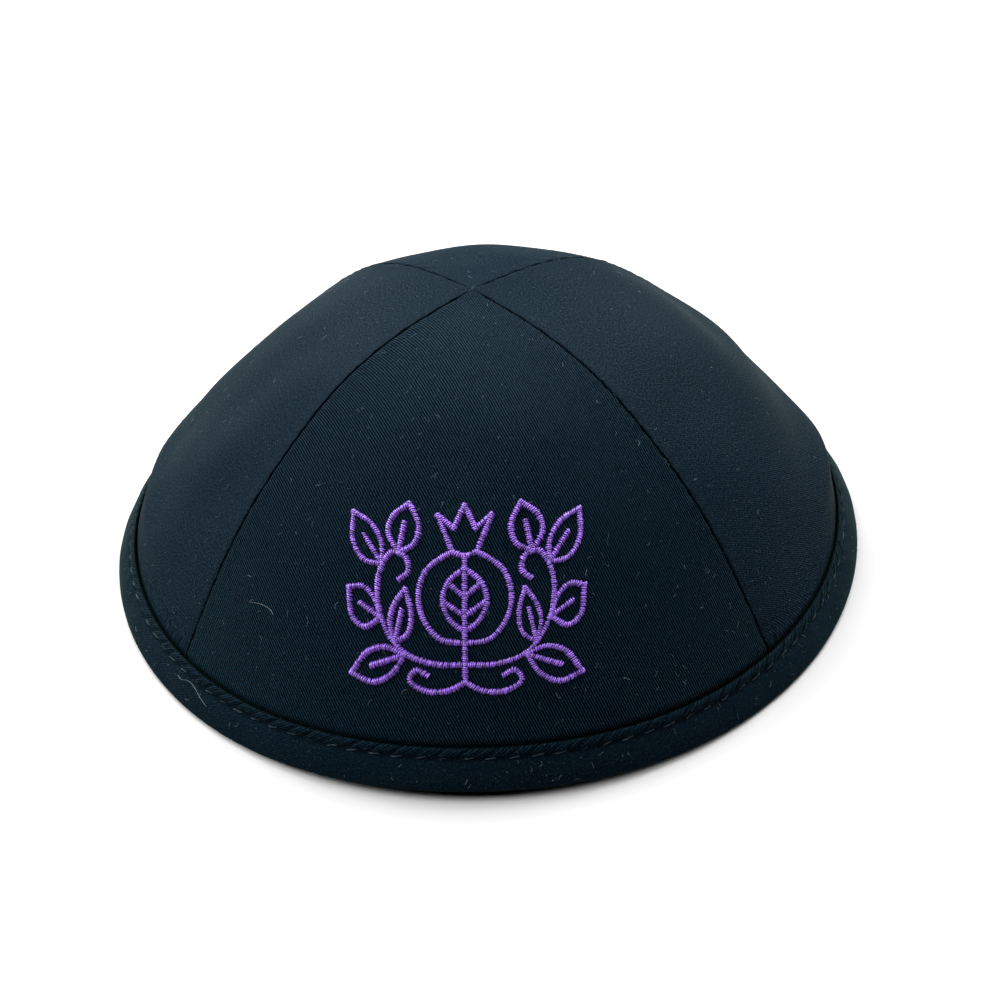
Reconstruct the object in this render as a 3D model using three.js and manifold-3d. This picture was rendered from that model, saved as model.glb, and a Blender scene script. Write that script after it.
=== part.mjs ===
// A cloth skullcap: four crown panels sewn along four seams, a folded band round the rim,
// and a satin-stitched ornament on the front panel. It lies on a table, open side down.
// Millimetres, +Z up. The origin is on the table under the middle of the rim, and the front faces -Y.
// An azimuth is an angle in degrees round +Z, from the front (-Y) towards the right (+X).
import * as THREE from "three";
import Module from "manifold-3d";
import { mergeVertices } from "three/addons/utils/BufferGeometryUtils.js";

const wasm = await Module();
wasm.setup();

// Cap
const rimWidth = 170; // across the rim's outer edge, side to side
const rimDepth = 172.6; // across the rim's outer edge, front to back
const capHeight = 60; // table to the top of the crown
const rimArch = 1.8; // how far the rim's edge rises off the table at the middle of a panel
const clearance = 0.3; // gap between pieces that are sewn to each other

// Cloth
const panelWall = 1.4; // outer cloth, stiffening and inner cloth together
const tuckWall = 0.9; // a panel's lower edge, pressed flat inside the band
const bandWall = 0.8; // one side of the folded band
const rimEdge = 2.6; // thickness of the band at its folded lower edge

// Band
const bandHeight = 7.5; // upright height of the band
const bandFlare = 4.2; // how far the band's lower edge stands out past its upper edge
const panelTuck = 3.6; // length of panel tucked into the band
const stitchInset = 2.1; // from the band's upper edge to its topstitching
const weltRise = 0.2; // how far the band bulges above and below the topstitching

// Ornament
const ornamentWidth = 46; // across the embroidered ornament
const ornamentHeight = 36; // up the front panel
const ornamentBase = 10; // from the band's upper edge to the foot of the ornament
const threadWidth = 1.2; // width of a satin-stitched line
const threadHeight = 0.35; // how far the stitches stand up
const threadOverlap = 0.004; // how much higher each line stands than the one stitched before it

// The steps that the meshes are cut into.
const panelColumns = 16;
const panelRows = 16;
const bandSteps = 96;
const strokeStep = 2.9;

// The four seams, in order round the cap.
const seams = [
  { name: "front_left", azimuth: -47 },
  { name: "front_right", azimuth: 47 },
  { name: "back_right", azimuth: 137 },
  { name: "back_left", azimuth: 223 },
];

// The panel to the right of each seam, in the same order.
const panelNames = ["panel_front", "panel_right", "panel_back", "panel_left"];

// Crown sections from the band to the top. rise is a share of the crown's height, seam the plan radius
// on a seam as a share of the radius at the band, and flat says how straight the cloth runs from seam
// to seam: 0 is a round section and 1 a square one.
const crownSections = [
  { rise: 0.0, seam: 1.0, flat: 0.0 },
  { rise: 0.182, seam: 0.921, flat: 0.03 },
  { rise: 0.361, seam: 0.835, flat: 0.09 },
  { rise: 0.534, seam: 0.733, flat: 0.16 },
  { rise: 0.695, seam: 0.606, flat: 0.2 },
  { rise: 0.822, seam: 0.482, flat: 0.29 },
  { rise: 0.906, seam: 0.36, flat: 0.46 },
  { rise: 0.963, seam: 0.21, flat: 0.6 },
  { rise: 1.0, seam: 0.0, flat: 0.65 },
];

// Shallow dents (push above 0) and swells (push below 0) of the worked cloth. azimuth and level are the
// middle, level runs from 0 at the band to 1 at the top, spread and reach are the half sizes there,
// and push is a share of the cap's height.
const crownDents = [
  { azimuth: 90, level: 0.4, spread: 60, reach: 0.3, push: -0.014 },
  { azimuth: 270, level: 0.4, spread: 60, reach: 0.3, push: 0.014 },
  { azimuth: 0, level: 0.4, spread: 60, reach: 0.3, push: -0.01 },
  { azimuth: 180, level: 0.4, spread: 60, reach: 0.3, push: 0.01 },
  { azimuth: 232, level: 0.66, spread: 26, reach: 0.16, push: 0.006 },
];

// The ornament's stitched lines: a fruit between two leafy branches. Points are shares of half the
// ornament's width and of its height, and a mirrored line is stitched on both sides.
const ornamentLines = [
  { part: "fruit", mirrored: true, bend: true, points: [[0, 0.26], [0.2, 0.28], [0.34, 0.38], [0.38, 0.51], [0.32, 0.63], [0.2, 0.7], [0.1, 0.735]] },
  { part: "fruit's crown", mirrored: true, bend: false, points: [[0.1, 0.735], [0.22, 0.93], [0.09, 0.86], [0, 0.985]] },
  { part: "fruit's collar", mirrored: false, bend: true, points: [[-0.1, 0.735], [0, 0.715], [0.1, 0.735]] },
  { part: "fruit's opening", mirrored: true, bend: true, points: [[0, 0.65], [0.13, 0.58], [0.18, 0.48], [0.12, 0.38], [0, 0.32]] },
  { part: "middle line", mirrored: false, bend: false, points: [[0, 0.715], [0, 0.06]] },
  { part: "upper seed", mirrored: true, bend: false, points: [[0, 0.5], [0.13, 0.57]] },
  { part: "lower seed", mirrored: true, bend: false, points: [[0, 0.4], [0.16, 0.47]] },
  { part: "root", mirrored: true, bend: true, points: [[0, 0.06], [0.14, 0.015], [0.33, 0.01], [0.46, 0.06], [0.4, 0.115], [0.31, 0.09]] },
  { part: "branch", mirrored: true, bend: true, points: [[0, 0.15], [0.25, 0.15], [0.5, 0.2], [0.66, 0.32], [0.73, 0.48], [0.7, 0.63], [0.6, 0.72], [0.49, 0.7], [0.47, 0.62], [0.54, 0.58]] },
  { part: "low leaf, upper side", mirrored: true, bend: true, points: [[0.5, 0.19], [0.66, 0.22], [0.82, 0.18], [0.96, 0.06]] },
  { part: "low leaf, lower side", mirrored: true, bend: true, points: [[0.5, 0.19], [0.6, 0.09], [0.77, 0.03], [0.96, 0.06]] },
  { part: "low leaf, vein", mirrored: true, bend: false, points: [[0.5, 0.19], [0.78, 0.115]] },
  { part: "side leaf, lower side", mirrored: true, bend: true, points: [[0.7, 0.37], [0.84, 0.31], [0.95, 0.35], [0.985, 0.5]] },
  { part: "side leaf, upper side", mirrored: true, bend: true, points: [[0.7, 0.37], [0.76, 0.47], [0.86, 0.52], [0.985, 0.5]] },
  { part: "side leaf, vein", mirrored: true, bend: false, points: [[0.7, 0.37], [0.88, 0.43]] },
  { part: "inner leaf, outer side", mirrored: true, bend: true, points: [[0.58, 0.25], [0.62, 0.35], [0.58, 0.45], [0.49, 0.53]] },
  { part: "inner leaf, inner side", mirrored: true, bend: true, points: [[0.58, 0.25], [0.47, 0.3], [0.44, 0.41], [0.49, 0.53]] },
  { part: "inner leaf, vein", mirrored: true, bend: false, points: [[0.58, 0.25], [0.52, 0.42]] },
  { part: "top leaf, outer side", mirrored: true, bend: true, points: [[0.69, 0.65], [0.85, 0.66], [0.95, 0.75], [0.95, 0.9]] },
  { part: "top leaf, inner side", mirrored: true, bend: true, points: [[0.69, 0.65], [0.7, 0.77], [0.8, 0.86], [0.95, 0.9]] },
  { part: "top leaf, vein", mirrored: true, bend: false, points: [[0.69, 0.65], [0.85, 0.79]] },
  { part: "crest leaf, outer side", mirrored: true, bend: true, points: [[0.55, 0.72], [0.64, 0.82], [0.6, 0.91], [0.46, 0.985]] },
  { part: "crest leaf, inner side", mirrored: true, bend: true, points: [[0.55, 0.72], [0.42, 0.77], [0.38, 0.87], [0.46, 0.985]] },
  { part: "crest leaf, vein", mirrored: true, bend: false, points: [[0.55, 0.72], [0.5, 0.88]] },
];

// Colours and finishes
const blackTwill = new THREE.MeshStandardMaterial({ color: 0x10202a, roughness: 0.85, metalness: 0 });
const blackBand = new THREE.MeshStandardMaterial({ color: 0x0d1b25, roughness: 0.85, metalness: 0 });
const purpleThread = new THREE.MeshStandardMaterial({ color: 0x8a52c4, roughness: 0.45, metalness: 0 });

const radians = THREE.MathUtils.degToRad;
const smoothShare = (x) => THREE.MathUtils.smoothstep(x, 0, 1);

// A point from its azimuth, its distance from the middle and its height.
function place(azimuth, radius, height) {
  const turn = radians(azimuth);
  return new THREE.Vector3(radius * Math.sin(turn), -radius * Math.cos(turn), height);
}

// Where an azimuth lies between its two seams: -1 at one seam, 0 mid-panel and 1 at the other.
function acrossPanel(azimuth) {
  const first = seams[0].azimuth;
  const turned = first + THREE.MathUtils.euclideanModulo(azimuth - first, 360);
  const stops = [...seams.map((seam) => seam.azimuth), first + 360];
  const panel = Math.max(1, stops.findIndex((stop) => turned <= stop));
  const [from, to] = [stops[panel - 1], stops[panel]];
  return ((turned - from) / (to - from)) * 2 - 1;
}

function rimRadius(azimuth) {
  const turn = radians(azimuth);
  return 1 / Math.hypot(Math.sin(turn) / (rimWidth / 2), Math.cos(turn) / (rimDepth / 2));
}

// The rim lies flat near each seam, and arches off the table in the middle of each panel.
const archShare = 0.9; // share of a panel's width that is arched
function rimLift(azimuth) {
  const share = Math.min(1, Math.abs(acrossPanel(azimuth)) / archShare);
  return rimArch * (1 - smoothShare(share));
}

// Band: along runs up from the rim's edge, and out is measured outwards from the band's middle.
const bandLength = Math.hypot(bandHeight, bandFlare);
const bandUp = new THREE.Vector2(-bandFlare, bandHeight).divideScalar(bandLength);
const bandOut = new THREE.Vector2(bandHeight, bandFlare).divideScalar(bandLength);

function bandPoint(azimuth, along, out) {
  return new THREE.Vector2(rimRadius(azimuth), rimLift(azimuth))
    .addScaledVector(bandUp, along)
    .addScaledVector(bandOut, out - rimEdge / 2);
}

// How far up the band a point at that depth has to be for its lower end to lie level with the rim's edge.
const levelWithRim = (out) => ((rimEdge / 2 - out) * bandFlare) / bandHeight;

// Crown
const sectionCurve = new THREE.CatmullRomCurve3(
  crownSections.map((row) => new THREE.Vector3(row.seam, row.flat, row.rise)),
  false,
  "catmullrom",
  0.5,
);

function dentPush(azimuth, level) {
  let push = 0;
  for (const dent of crownDents) {
    const turn = THREE.MathUtils.euclideanModulo(azimuth - dent.azimuth + 180, 360) - 180;
    const away = Math.hypot(turn / dent.spread, (level - dent.level) / dent.reach);
    push += dent.push * capHeight * Math.exp(-away * away * 1.5);
  }
  return push * Math.min(1, level * 5) * Math.min(1, (1 - level) * 5);
}

// The outer face of the crown: distance from the middle and height at an azimuth and level.
const cornerCosine = Math.cos(Math.PI / 4);
function crownMeridian(azimuth, level) {
  const { x: seam, y: flat, z: rise } = sectionCurve.getPoint(THREE.MathUtils.clamp(level, 0, 1));
  const foot = bandPoint(azimuth, bandLength, panelWall / 2);
  const squareness = (cornerCosine / Math.cos((acrossPanel(azimuth) * Math.PI) / 4)) ** flat;
  return new THREE.Vector2(foot.x * seam * squareness, foot.y + (capHeight - foot.y) * rise);
}

// A point at that depth under the crown's outer face. A depth below 0 is outside the cap.
function crownSide(azimuth, level, depth) {
  const step = 0.01;
  const above = crownMeridian(azimuth, level + step);
  const below = crownMeridian(azimuth, level - step);
  const outwards = new THREE.Vector2(above.y - below.y, below.x - above.x).normalize();
  return crownMeridian(azimuth, level).addScaledVector(outwards, -depth - dentPush(azimuth, level));
}

function crownPoint(azimuth, level, depth) {
  const side = crownSide(azimuth, level, depth);
  return place(azimuth, side.x, side.y);
}

// A closed mesh through a row of closed sections. A ring joins its last section to its first. Otherwise
// both ends are closed by a strip between the first and the second half of the section's points.
function closedMesh(sections, ring) {
  const around = sections[0].length;
  const faces = [];
  const addQuad = (a, b, c, d) => faces.push(a, b, c, a, c, d);
  const last = ring ? sections.length : sections.length - 1;
  for (let i = 0; i < last; i += 1) {
    const here = i * around;
    const next = ((i + 1) % sections.length) * around;
    for (let j = 0; j < around; j += 1) {
      const k = (j + 1) % around;
      addQuad(here + j, here + k, next + k, next + j);
    }
  }
  const end = (sections.length - 1) * around;
  for (let j = 0; !ring && j < around / 2 - 1; j += 1) {
    const k = around - 1 - j;
    addQuad(j, k, k - 1, j + 1);
    addQuad(end + j, end + j + 1, end + k - 1, end + k);
  }
  return new THREE.BufferGeometry().setFromPoints(sections.flat()).setIndex(faces);
}

function toSolid(geometry) {
  const merged = mergeVertices(geometry, 1e-4);
  const solid = new wasm.Manifold(
    new wasm.Mesh({
      numProp: 3,
      vertProperties: new Float32Array(merged.attributes.position.array),
      triVerts: new Uint32Array(merged.index.array),
    }),
  );
  return solid;
}

function toGeometry(solid) {
  const mesh = solid.getMesh();
  return new THREE.BufferGeometry()
    .setAttribute("position", new THREE.BufferAttribute(mesh.vertProperties, 3))
    .setIndex(new THREE.BufferAttribute(mesh.triVerts, 1));
}

// One panel: an outer and an inner face between two seams, from its tucked edge up to the tip.
const bellyLevel = 0.025; // level at which a panel has swelled from its tuck to its full thickness
function makePanel(from, to) {
  const middle = (from + to) / 2;
  const half = (to - from) / 2;
  const sideGap = clearance / 2;

  // A point of the panel's edge or face, kept the side gap away from the seams.
  function facePoint(across, outline) {
    const reach = outline(middle + across * half).x;
    const inset = THREE.MathUtils.radToDeg(Math.asin(Math.min(1, sideGap / reach)));
    const azimuth = middle + across * (half - inset);
    const side = outline(azimuth);
    return place(azimuth, side.x, side.y);
  }

  const across = Array.from({ length: panelColumns + 1 }, (_, i) => (i / panelColumns) * 2 - 1);
  const section = (outer, inner) => [
    ...across.map((share) => facePoint(share, outer)),
    ...across.map((share) => facePoint(share, inner)).reverse(),
  ];
  const tuckSection = (along) =>
    section(
      (azimuth) => bandPoint(azimuth, along, tuckWall - panelWall / 2),
      (azimuth) => bandPoint(azimuth, along, -panelWall / 2),
    );
  const crownSection = (level) =>
    section(
      (azimuth) => crownSide(azimuth, level, 0),
      (azimuth) => crownSide(azimuth, level, panelWall),
    );
  const sections = [tuckSection(bandLength - panelTuck), tuckSection(bandLength)];
  sections.push(crownSection(bellyLevel));
  for (let row = 1; row < panelRows; row += 1) sections.push(crownSection(row / panelRows));
  const tipRadius = sideGap / Math.sin(radians(half));
  const tips = [capHeight, capHeight - panelWall].map((height) => place(middle, tipRadius, height));
  sections.push(sections[0].map((_, i) => tips[i <= panelColumns ? 0 : 1].clone()));
  return closedMesh(sections, false);
}

// The band: a folded strip with a slot along its upper edge that holds the panels.
function makeBand() {
  const slotOut = tuckWall - panelWall / 2 + clearance;
  const slotIn = -panelWall / 2 - clearance;
  const slotFloor = bandLength - panelTuck - clearance;
  const [outside, inside] = [slotOut + bandWall, slotIn - bandWall];
  const edge = rimEdge / 2;
  const outline = [
    [bandLength, outside - bandWall * 0.4],
    [bandLength - bandWall * 0.3, outside],
    [bandLength - stitchInset / 2, outside + weltRise],
    [bandLength - stitchInset, outside],
    [bandLength * 0.3, (outside + edge) / 2 + weltRise],
    [0, edge],
    [levelWithRim(-edge), -edge],
    [slotFloor, inside],
    [bandLength, inside],
    [bandLength, slotIn],
    [slotFloor, slotIn],
    [slotFloor, slotOut],
    [bandLength, slotOut],
  ];
  const sections = Array.from({ length: bandSteps }, (_, i) => {
    const azimuth = seams[0].azimuth + (360 * i) / bandSteps;
    return outline.map(([along, out]) => {
      const side = bandPoint(azimuth, along, out);
      return place(azimuth, side.x, side.y);
    });
  });
  return closedMesh(sections, true);
}

// Ornament: lines on a flat drawing, laid on the middle of the front panel.
const frontMiddle = (seams[0].azimuth + seams[1].azimuth) / 2;
const climb = [{ level: 0, length: 0 }];
for (let level = 0.01; level < 1; level += 0.01) {
  const before = climb.at(-1);
  const step = crownPoint(frontMiddle, level, 0).distanceTo(crownPoint(frontMiddle, before.level, 0));
  climb.push({ level, length: before.length + step });
}

function levelAt(length) {
  const next = Math.max(1, climb.findIndex((stop) => stop.length >= length));
  const [low, high] = [climb[next - 1], climb[next]];
  return THREE.MathUtils.mapLinear(length, low.length, high.length, low.level, high.level);
}

function onFrontPanel(x, y, lift) {
  const level = levelAt(ornamentBase + y);
  const reach = crownMeridian(frontMiddle, level).x;
  return crownPoint(frontMiddle + THREE.MathUtils.radToDeg(x / reach), level, -lift);
}

// A stitched line as a low ridge a little above the cloth.
function makeStroke({ points, bend }, order) {
  const height = threadHeight + order * threadOverlap;
  const corners = points.map(([x, y]) => new THREE.Vector3((x * ornamentWidth) / 2, y * ornamentHeight, 0));
  const path = new THREE.CurvePath();
  if (bend) {
    path.add(new THREE.CatmullRomCurve3(corners));
  } else {
    corners.slice(1).forEach((corner, i) => path.add(new THREE.LineCurve3(corners[i], corner)));
  }
  const steps = path.curves.map((curve) => Math.max(1, Math.round(curve.getLength() / strokeStep)));
  const spine = path.curves.flatMap((curve, i) => curve.getSpacedPoints(steps[i]).slice(i ? 1 : 0));
  const ends = [spine[0].clone().sub(spine[1]), spine.at(-1).clone().sub(spine.at(-2))];
  spine[0].add(ends[0].setLength(threadWidth / 2));
  spine[spine.length - 1].add(ends[1].setLength(threadWidth / 2));
  const sections = spine.map((point, i) => {
    const before = spine[Math.max(0, i - 1)];
    const after = spine[Math.min(spine.length - 1, i + 1)];
    const ahead = after.clone().sub(before).normalize();
    const corner = (side, lift) =>
      onFrontPanel(point.x - ahead.y * side, point.y + ahead.x * side, lift);
    return [
      corner(threadWidth / 2, clearance),
      corner(0, clearance + height),
      corner(-threadWidth / 2, clearance),
    ];
  });
  return toSolid(closedMesh(sections, false));
}

function makeOrnament() {
  const lines = ornamentLines.flatMap((line) => {
    const mirror = { ...line, points: line.points.map(([x, y]) => [-x, y]) };
    return line.mirrored ? [line, mirror] : [line];
  });
  return toGeometry(lines.map(makeStroke).reduce((all, stroke) => all.add(stroke)));
}

function addPiece(group, name, geometry, material) {
  const piece = new THREE.Mesh(geometry, material);
  piece.name = name;
  geometry.computeVertexNormals();
  group.add(piece);
}

const skullcap = new THREE.Group();
panelNames.forEach((name, i) => {
  const next = i + 1 < seams.length ? seams[i + 1].azimuth : seams[0].azimuth + 360;
  addPiece(skullcap, name, makePanel(seams[i].azimuth, next), blackTwill);
});
addPiece(skullcap, "rim_band", makeBand(), blackBand);
addPiece(skullcap, "stitched_ornament", makeOrnament(), purpleThread);

export default skullcap;
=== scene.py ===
import math
import random

import bmesh
import bpy
import numpy as np
from mathutils import Matrix, Vector


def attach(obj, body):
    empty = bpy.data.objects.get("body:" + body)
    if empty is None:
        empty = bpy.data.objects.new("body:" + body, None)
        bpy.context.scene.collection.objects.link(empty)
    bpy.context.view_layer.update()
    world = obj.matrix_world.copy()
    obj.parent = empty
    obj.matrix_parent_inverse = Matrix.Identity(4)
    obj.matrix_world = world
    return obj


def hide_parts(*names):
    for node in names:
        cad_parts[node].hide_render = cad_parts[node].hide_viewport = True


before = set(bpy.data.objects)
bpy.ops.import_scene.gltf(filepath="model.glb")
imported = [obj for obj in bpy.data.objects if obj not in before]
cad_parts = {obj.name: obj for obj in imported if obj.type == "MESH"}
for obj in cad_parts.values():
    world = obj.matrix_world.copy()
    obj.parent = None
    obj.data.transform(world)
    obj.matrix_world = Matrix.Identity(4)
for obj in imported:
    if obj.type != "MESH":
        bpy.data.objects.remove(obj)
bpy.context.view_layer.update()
scene = bpy.context.scene

# Metres throughout. An azimuth is in degrees round +Z, from the front (-Y) towards the right (+X).
# A level runs from 0 at the band to 1 at the crown's tip, in equal steps from section to section.
cap = {
    "rimWidth": 0.170,
    "rimDepth": 0.1726,
    "height": 0.060,
    "rimArch": 0.0018,  # how far the rim lifts off the table in the middle of a panel
    "archShare": 0.9,  # how much of the panel's width it lifts over
    "bandHeight": 0.0075,
    "bandFlare": 0.0042,  # how far the band's lower edge stands out past its upper edge
    "rimEdge": 0.0026,  # thickness of the band at its fold
    "panelWall": 0.0014,
    "seams": (-47, 47, 137, 223),
    # rise, radius on a seam, and how straight the cloth runs from seam to seam
    "sections": (
        (0.0, 1.0, 0.0),
        (0.182, 0.921, 0.03),
        (0.361, 0.835, 0.09),
        (0.534, 0.733, 0.16),
        (0.695, 0.606, 0.2),
        (0.822, 0.482, 0.29),
        (0.906, 0.36, 0.46),
        (0.963, 0.21, 0.6),
        (1.0, 0.0, 0.65),
    ),
    # how far the rim is drawn in at each side, where, and over what half turn
    "drawnIn": ((0.0014, 109, 27), (0.0019, 253, 22.5)),
    "drawnInTo": 0.12,  # the level at which the crown is out again
    # azimuth, level, half sizes there, and the push inwards
    "dents": (
        (90, 0.4, 60, 0.3, -0.00084),
        (270, 0.4, 60, 0.3, 0.00084),
        (0, 0.4, 60, 0.3, -0.0006),
        (180, 0.4, 60, 0.3, 0.0006),
        (232, 0.66, 26, 0.16, 0.00036),
        (180, 0.68, 40, 0.25, -0.0006),
        (126, 0.38, 30, 0.22, 0.00026),
        (120, 0.3, 20, 0.13, -0.0006),
        (112, 0.16, 24, 0.14, -0.0009),
        (108, 0.2, 16, 0.1, 0.0011),
        (104, 0.1, 16, 0.12, 0.00074),
        (93, 0.05, 19, 0.09, -0.0024),
        (270, 0.05, 22, 0.09, -0.0017),
    ),
    "dentFade": (14, 5),  # how fast they set in above the band, and end below the tip
}
seamStops = [*cap["seams"], cap["seams"][0] + 360]
bandLength = math.hypot(cap["bandHeight"], cap["bandFlare"])
bandUp = (-cap["bandFlare"] / bandLength, cap["bandHeight"] / bandLength)
bandOut = (cap["bandHeight"] / bandLength, cap["bandFlare"] / bandLength)


# The cap's surface. These work on whole arrays of azimuths and levels at once.
def smoothStep(x):
    x = np.clip(x, 0, 1)
    return x * x * (3 - 2 * x)


def acrossPanel(azimuth):  # -1 at one seam, 0 mid-panel, 1 at the next seam
    stops = np.array(seamStops, float)
    turned = stops[0] + np.mod(azimuth - stops[0], 360)
    panel = np.clip(np.searchsorted(stops, turned, side="right"), 1, 4)
    return (turned - stops[panel - 1]) / (stops[panel] - stops[panel - 1]) * 2 - 1


def rimRadius(azimuth):
    turn = np.radians(azimuth)
    return 1 / np.hypot(np.sin(turn) * 2 / cap["rimWidth"], np.cos(turn) * 2 / cap["rimDepth"])


def drawnIn(azimuth):
    turn, pull = np.mod(azimuth, 360), 0
    for depth, side, spread in cap["drawnIn"]:
        pull = pull + depth * np.exp(-(((turn - side) / spread) ** 2))
    return pull


def bandSide(azimuth, along, out):
    lift = cap["rimArch"] * (1 - smoothStep(np.abs(acrossPanel(azimuth)) / cap["archShare"]))
    out = out - cap["rimEdge"] / 2
    radius = rimRadius(azimuth) - drawnIn(azimuth) + bandUp[0] * along + bandOut[0] * out
    return radius, lift + bandUp[1] * along + bandOut[1] * out


def curveBetween(a, b, c, d, t):  # a Catmull-Rom curve from b to c
    square = a - 2.5 * b + 2 * c - d / 2
    cube = 1.5 * b - a / 2 - 1.5 * c + d / 2
    return b + t * (c - a) / 2 + t**2 * square + t**3 * cube


def sectionAt(level):
    rows = np.array(cap["sections"])
    rows = np.vstack([2 * rows[0] - rows[1], rows, 2 * rows[-1] - rows[-2]])
    spot = np.clip(level, 0, 1) * (len(rows) - 3)
    i = np.minimum(spot.astype(int), len(rows) - 4)
    curve = curveBetween(*(rows[i + k] for k in range(4)), (spot - i)[..., None])
    return curve[..., 0], curve[..., 1], curve[..., 2]


def crownMeridian(azimuth, level):
    rise, seam, flat = sectionAt(level)
    footRadius, footHeight = bandSide(azimuth, bandLength, cap["panelWall"] / 2)
    square = (math.cos(math.pi / 4) / np.cos(acrossPanel(azimuth) * math.pi / 4)) ** flat
    radius = (footRadius + drawnIn(azimuth)) * seam * square
    radius = radius - drawnIn(azimuth) * (1 - smoothStep(level / cap["drawnInTo"]))
    return radius, footHeight + (cap["height"] - footHeight) * rise


def crownSide(azimuth, level, depth):  # depth is measured inwards, square to the cloth
    step = 0.01
    topRadius, topHeight = crownMeridian(azimuth, level + step)
    lowRadius, lowHeight = crownMeridian(azimuth, level - step)
    outRadius, outHeight = topHeight - lowHeight, lowRadius - topRadius
    size = np.hypot(outRadius, outHeight)
    push = 0
    for spot, height, spread, reach, inwards in cap["dents"]:
        sideways = (np.mod(azimuth - spot + 180, 360) - 180) / spread
        upwards = (level - height) / reach
        push = push + inwards * np.exp(-1.5 * (sideways**2 + upwards**2))
    low, high = cap["dentFade"]
    push = push * np.clip(level * low, 0, 1) * np.clip((1 - level) * high, 0, 1)
    radius, height = crownMeridian(azimuth, level)
    depth = depth + push
    return radius - outRadius / size * depth, height - outHeight / size * depth


def place(azimuth, side):
    turn = np.radians(azimuth)
    return np.stack([side[0] * np.sin(turn), -side[0] * np.cos(turn), side[1] + 0 * turn], -1)


# How far up the middle of the front panel each level lies.
levels = np.linspace(0, 1, 400)
frontLine = place(0 * levels, crownSide(0 * levels, levels, 0))
climb = np.concatenate([[0], np.cumsum(np.linalg.norm(np.diff(frontLine, axis=0), axis=1))])


def levelAt(length):
    return np.interp(length, climb, levels)


# A smooth random field over two lengths: waves that head up to steer away from the first of them.
def ripples(seed, count, shortest, longest, steer=math.pi):
    dice = random.Random(seed)
    waves = []
    for _ in range(count):
        angle = dice.uniform(-steer, steer)
        pace = 2 * math.pi / dice.uniform(shortest, longest)
        waves.append((pace * math.cos(angle), pace * math.sin(angle), dice.uniform(0, 7)))

    def field(u, v):
        return sum(np.sin(a * u + b * v + c) for a, b, c in waves) / math.sqrt(count)

    return field


def readPoints(mesh):
    points = np.empty(len(mesh.vertices) * 3, np.float32)
    mesh.vertices.foreach_get("co", points)
    return points.reshape(-1, 3).astype(float)


def closeMesh(mesh):  # seams merged, faces turned outwards
    bm = bmesh.new()
    bm.from_mesh(mesh)
    bmesh.ops.remove_doubles(bm, verts=bm.verts, dist=2e-6)
    bmesh.ops.dissolve_degenerate(bm, edges=bm.edges, dist=1e-6)
    bmesh.ops.recalc_face_normals(bm, faces=bm.faces)
    for face in bm.faces:
        face.smooth = True
    bm.to_mesh(mesh)
    bm.free()


def addPiece(name, mesh, material):
    piece = bpy.data.objects.new(name, mesh)
    scene.collection.objects.link(piece)
    mesh.materials.append(material)
    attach(piece, "root")
    return piece


# Cloth: a grid whose columns run right round the piece, laid out by a function of shares 0 to 1.
def layCloth(name, columns, rows, shape):
    bm = bmesh.new()
    bmesh.ops.create_grid(bm, x_segments=columns, y_segments=rows, size=0.5)
    mesh = bpy.data.meshes.new(name)
    bm.to_mesh(mesh)
    bm.free()
    flat = readPoints(mesh)
    points, spots, paintedShade = shape(flat[:, 0] + 0.5, flat[:, 1] + 0.5)
    mesh.vertices.foreach_set("co", points.ravel())
    corners = np.empty(len(mesh.loops), np.int32)
    mesh.loops.foreach_get("vertex_index", corners)
    mesh.uv_layers.new(name="cloth").data.foreach_set("uv", spots[corners].ravel())
    # This attribute holds painted shade: below 1 where the cloth's colour is darkened in seams,
    # creases and hollows, 1 where it is left as it is
    mesh.attributes.new("paintedShade", "FLOAT", "POINT").data.foreach_set("value", np.clip(paintedShade, 0, 1))
    closeMesh(mesh)
    return mesh


# Short threads: one capped tube, copied for each of them and laid out by a function of the share
# along it, from -1 to 1, and the turn round it.
def layThreads(name, rings, sides, shape):
    bm = bmesh.new()
    bmesh.ops.create_cone(bm, cap_ends=True, segments=sides, radius1=1, radius2=1, depth=2)
    lengthways = [e for e in bm.edges if abs(e.verts[0].co.z - e.verts[1].co.z) > 1]
    bmesh.ops.subdivide_edges(bm, edges=lengthways, cuts=rings - 2, use_grid_fill=True)
    tube = bpy.data.meshes.new("tube")
    bm.to_mesh(tube)
    bm.free()
    flat = readPoints(tube)
    turn = np.arctan2(flat[:, 1], flat[:, 0])
    points, tones = shape(flat[:, 2], turn)
    bm = bmesh.new()
    for _ in tones:
        bm.from_mesh(tube)
    mesh = bpy.data.meshes.new(name)
    bm.to_mesh(mesh)
    bm.free()
    mesh.vertices.foreach_set("co", points.ravel())
    spots = np.broadcast_to(np.stack([flat[:, 2], turn, 0 * turn], -1), points.shape).copy()
    spots[..., 2] = tones[:, None]
    mesh.attributes.new("thread", "FLOAT_VECTOR", "POINT").data.foreach_set("vector", spots.ravel())
    closeMesh(mesh)
    return mesh


# Shader maths: a wire is a node's output that takes part in sums.
class Wire:
    def __init__(self, looks, socket):
        self.looks, self.socket = looks, socket

    def math(self, operation, *values):
        return self.looks.node("Math", {"operation": operation}, dict(enumerate(values)))

    def __add__(self, other):
        return self.math("ADD", self, other)

    def __sub__(self, other):
        return self.math("SUBTRACT", self, other)

    def __rsub__(self, other):
        return self.math("SUBTRACT", other, self)

    def __mul__(self, other):
        return self.math("MULTIPLY", self, other)

    def __truediv__(self, other):
        return self.math("DIVIDE", self, other)

    def __pow__(self, other):
        return self.math("POWER", self, other)

    __radd__, __rmul__ = __add__, __mul__

    def floor(self):
        return self.math("FLOOR", self)

    def sine(self):
        return self.math("SINE", self)

    def clamp(self):
        return self.looks.node("Clamp", {}, {"Value": self})


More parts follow.
